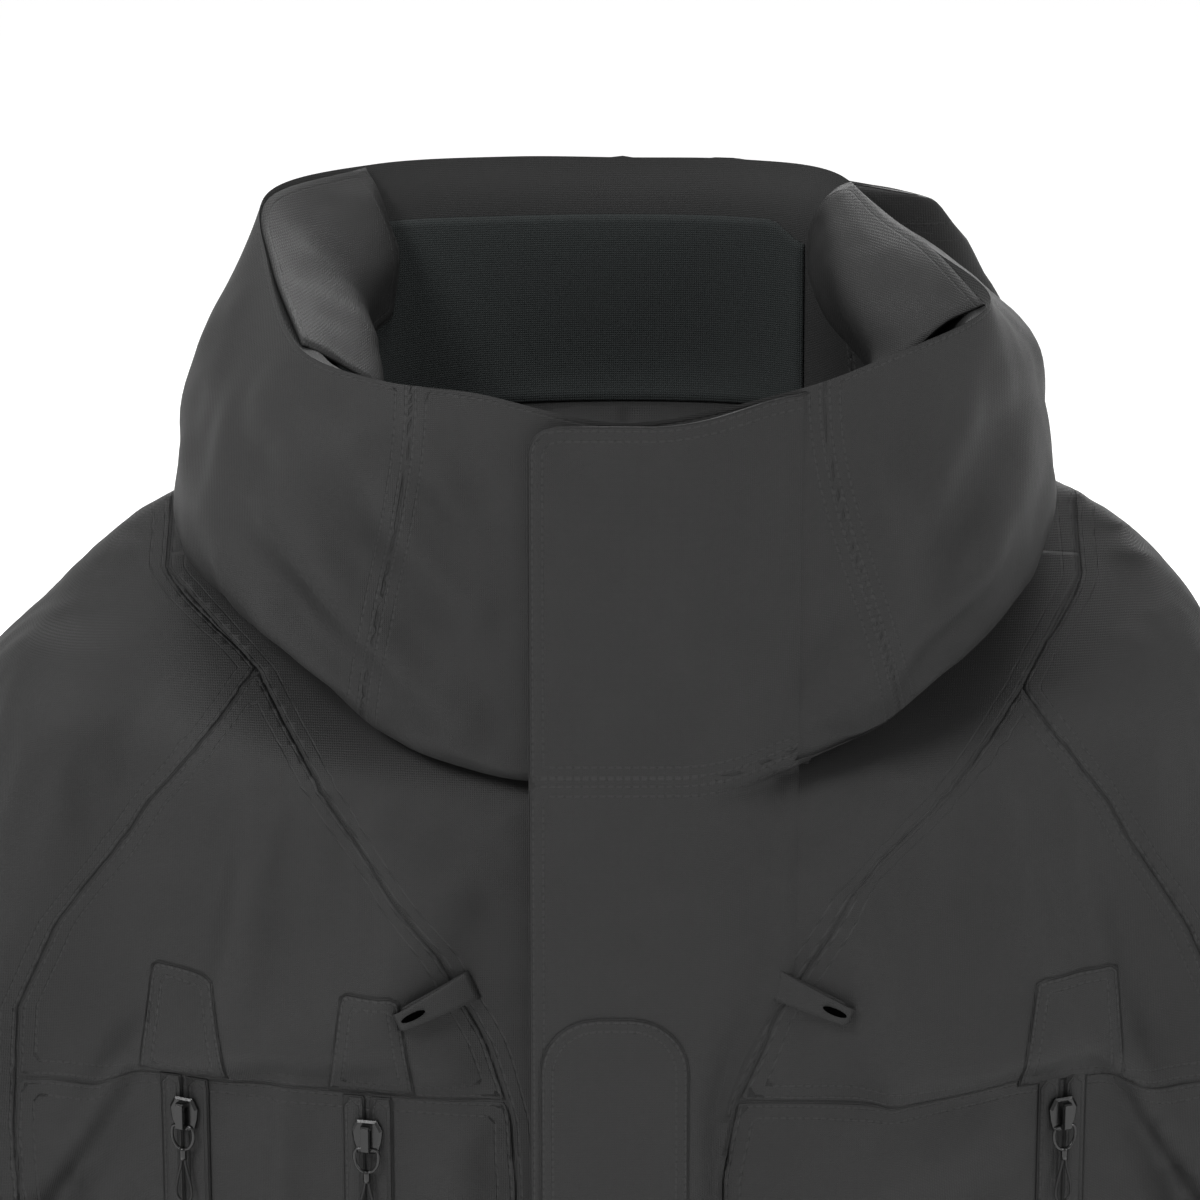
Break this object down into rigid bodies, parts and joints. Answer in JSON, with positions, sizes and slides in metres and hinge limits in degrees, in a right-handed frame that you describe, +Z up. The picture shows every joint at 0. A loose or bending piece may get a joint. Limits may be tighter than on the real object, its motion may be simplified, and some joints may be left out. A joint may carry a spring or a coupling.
{
  "type": "hardshell jacket",
  "caption": "Hooded waterproof mountain jacket standing as if worn: high collar, hood folded back, storm flap over the front zip, zipped chest pockets, adjustable cuffs.",
  "frame": {"origin": "middle of the neck opening at shoulder height, where the wearer's neck or a hanger's hook stands", "axes": "+Z up, -Y the jacket's front, +X the wearer's left"},
  "size_m": [1.1638, 0.3233, 0.876],
  "materials": {
    "shell": "matte three-layer woven shell",
    "lining": "brushed knit",
    "inner_cloth": "plain woven",
    "webbing": "woven tape",
    "zip_tape": "coated zip tape",
    "zip_teeth": "moulded",
    "slider": "gloss black lacquer",
    "puller": "gloss black lacquer",
    "hook_and_loop": "hook and loop tape",
    "tab": "moulded soft tab"
  },
  "bodies": {
    "jacket": {"centre_panel_right": "shell", "centre_panel_left": "shell", "chest_right": "shell", "chest_left": "shell", "front_right": "shell", "front_left": "shell", "shoulder_right": "shell", "shoulder_left": "shell", "back_yoke_right": "shell", "back_yoke_left": "shell", "back_panel_right": "shell", "back_panel_left": "shell", "hem_band": "shell", "collar_front_right": "shell", "collar_front_left": "shell", "collar_side_right": "shell", "collar_side_left": "shell", "collar_back_right": "shell", "collar_back_left": "shell", "neck_lining": "lining", "neck_facing": "inner_cloth", "hang_loop": "webbing", "main_zip_tape": "zip_tape", "main_zip_teeth": "zip_teeth", "zip_right_outer_tape": "zip_tape", "zip_right_outer_teeth": "zip_teeth", "zip_right_inner_tape": "zip_tape", "zip_right_inner_teeth": "zip_teeth", "zip_left_outer_tape": "zip_tape", "zip_left_outer_teeth": "zip_teeth", "pocket_bag_right": "inner_cloth", "pocket_bag_left": "inner_cloth", "flap_binding": "shell", "front_loop_patches": "hook_and_loop", "wind_guard": "inner_cloth", "fabric_loop_right": "shell", "fabric_loop_left": "shell"},
    "flap": {"storm_flap": "shell", "chest_tab": "shell", "flap_hook_patches": "hook_and_loop"},
    "hood": {"hood": "shell", "hood_brim": "shell"},
    "arm_right": {"sleeve_right": "shell", "forearm_right": "shell", "cuff_right": "shell"},
    "arm_left": {"sleeve_left": "shell", "forearm_left": "shell", "cuff_left": "shell"},
    "wrist_tab_right": {"cuff_tab_right": "tab"},
    "wrist_tab_left": {"cuff_tab_left": "tab"},
    "main_slider": {"main_zip_slider": "slider"},
    "main_pull": {"main_zip_pull": "puller"},
    "slider_right_outer": {"zip_right_outer_slider": "slider"},
    "pull_right_outer": {"zip_right_outer_pull": "puller"},
    "slider_right_inner": {"zip_right_inner_slider": "slider"},
    "pull_right_inner": {"zip_right_inner_pull": "puller"},
    "slider_left_outer": {"zip_left_outer_slider": "slider"},
    "pull_left_outer": {"zip_left_outer_pull": "puller"}
  },
  "joints": [
    {"name": "sleeve_raise_right", "type": "hinge", "parent": "jacket", "child": "arm_right", "pos_m": [-0.197, -0.005, -0.116], "axis": [0, 1, 0], "range_deg": [0, 50]},
    {"name": "sleeve_raise_left", "type": "hinge", "parent": "jacket", "child": "arm_left", "pos_m": [0.197, -0.005, -0.116], "axis": [0, -1, 0], "range_deg": [0, 50]},
    {"name": "cuff_tab_open_right", "type": "hinge", "parent": "arm_right", "child": "wrist_tab_right", "pos_m": [-0.55198, -0.07577, -0.55239], "axis": [-0.4695, 0, -0.8829], "range_deg": [0, 100]},
    {"name": "cuff_tab_open_left", "type": "hinge", "parent": "arm_left", "child": "wrist_tab_left", "pos_m": [0.55198, -0.07577, -0.55239], "axis": [-0.4695, 0, 0.8829], "range_deg": [0, 100]},
    {"name": "hood_raise", "type": "hinge", "parent": "jacket", "child": "hood", "pos_m": [0, 0.096, 0.1355], "axis": [1, 0, 0], "range_deg": [0, 175]},
    {"name": "flap_open", "type": "hinge", "parent": "jacket", "child": "flap", "pos_m": [0.045, -0.139, -0.33], "axis": [0, 0, 1], "range_deg": [0, 150]},
    {"name": "main_zip_slide", "type": "slide", "parent": "jacket", "child": "main_slider", "axis": [0, 0, -1], "range_m": [0, 0.7715]},
    {"name": "main_pull_swing", "type": "hinge", "parent": "main_slider", "child": "main_pull", "pos_m": [0, -0.13165, 0.0498], "axis": [-1, 0, 0], "range_deg": [0, 7]},
    {"name": "zip_right_outer_slide", "type": "slide", "parent": "jacket", "child": "slider_right_outer", "axis": [0, 0, -1], "range_m": [0, 0.1455]},
    {"name": "pull_right_outer_swing", "type": "hinge", "parent": "slider_right_outer", "child": "pull_right_outer", "pos_m": [-0.18569, -0.09604, -0.2302], "axis": [-0.909, 0.4168, 0], "range_deg": [0, 160]},
    {"name": "zip_right_inner_slide", "type": "slide", "parent": "jacket", "child": "slider_right_inner", "axis": [0, 0, -1], "range_m": [0, 0.1455]},
    {"name": "pull_right_inner_swing", "type": "hinge", "parent": "slider_right_inner", "child": "pull_right_inner", "pos_m": [-0.10734, -0.12097, -0.2302], "axis": [-0.979, 0.2038, 0], "range_deg": [0, 160]},
    {"name": "zip_left_outer_slide", "type": "slide", "parent": "jacket", "child": "slider_left_outer", "axis": [0, 0, -1], "range_m": [0, 0.1455]},
    {"name": "pull_left_outer_swing", "type": "hinge", "parent": "slider_left_outer", "child": "pull_left_outer", "pos_m": [0.18569, -0.09604, -0.2302], "axis": [-0.909, -0.4168, 0], "range_deg": [0, 160]}
  ]
}
